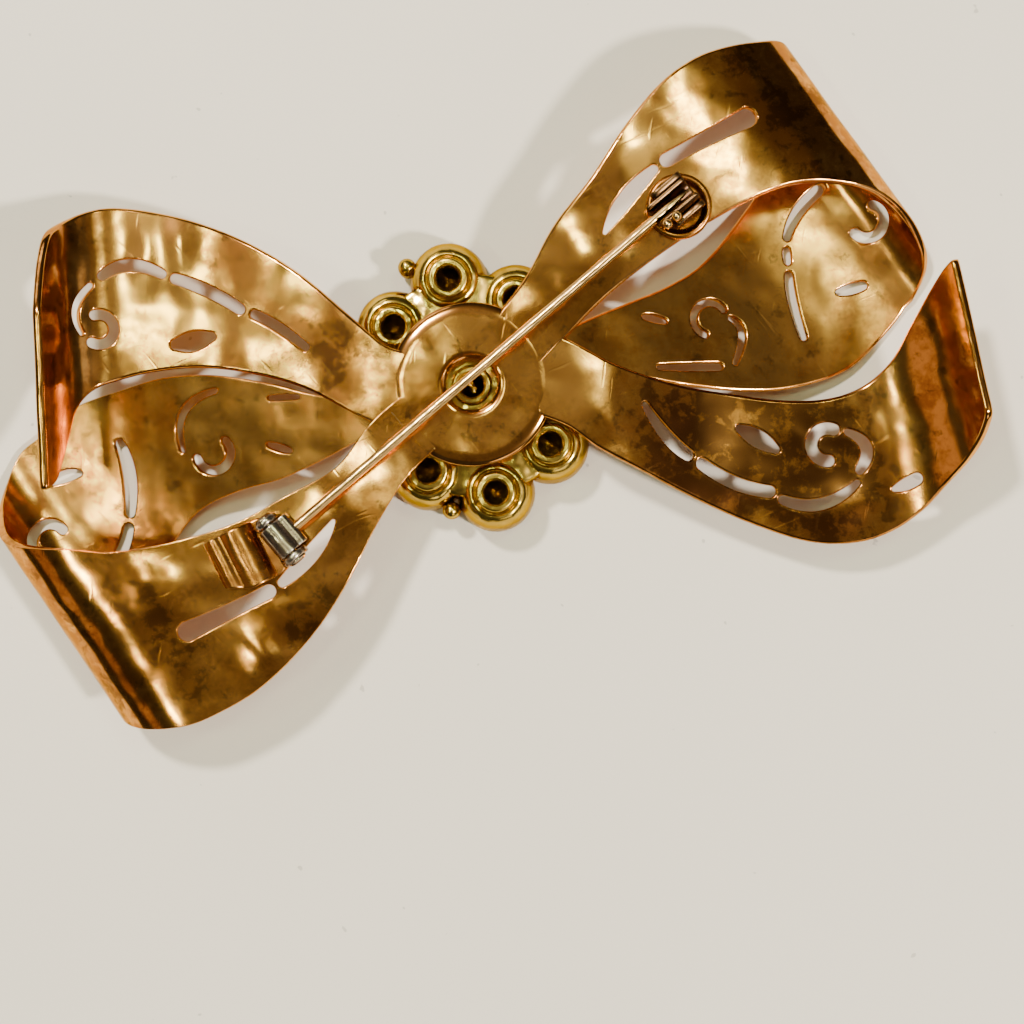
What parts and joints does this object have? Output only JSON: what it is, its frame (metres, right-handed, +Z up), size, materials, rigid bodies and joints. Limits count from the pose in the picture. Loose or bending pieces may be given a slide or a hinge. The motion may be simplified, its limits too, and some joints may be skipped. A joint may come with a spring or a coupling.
{
  "type": "bow brooch",
  "caption": "Bow brooch of pierced and curled sheet metal with a cluster of stones, lying face down, with a hinged pin stem and a safety catch on its back.",
  "frame": {"origin": "middle of the centre stone's face, on the table that the brooch lies on, below the centre plate's hole", "axes": "+Z up from the table, out of the brooch's back; +X along the bow's long side, towards the loop that carries the catch"},
  "size_m": [0.0761, 0.053, 0.0111],
  "materials": {
    "bow_metal": "polished copper-gold plate, worn",
    "rosette_metal": "bright cast brass",
    "stone": "clear cut glass",
    "fitting_metal": "darkened gold plate",
    "pin_metal": "polished gold plate"
  },
  "bodies": {
    "brooch": {"bow": "bow_metal", "rosette": "rosette_metal", "centre_stone": "stone", "stone_1": "stone", "stone_2": "stone", "stone_3": "stone", "stone_4": "stone", "stone_5": "stone", "stone_6": "stone", "stone_7": "stone", "stone_8": "stone", "hinge_bracket": "fitting_metal", "hinge_rivet": "fitting_metal", "catch_housing": "fitting_metal"},
    "pin": {"pin_stem": "pin_metal"},
    "sleeve": {"catch_sleeve": "fitting_metal"}
  },
  "joints": [
    {"name": "pin_hinge", "type": "hinge", "parent": "brooch", "child": "pin", "pos_m": [-0.01427, -0.01178, 0.0098], "axis": [0.6503, -0.7597, 0], "range_deg": [0, 75]},
    {"name": "sleeve_turn", "type": "hinge", "parent": "brooch", "child": "sleeve", "pos_m": [0.01551, 0.01371, 0.0098], "axis": [-0.7597, -0.6503, 0], "range_deg": [0, 100]}
  ]
}
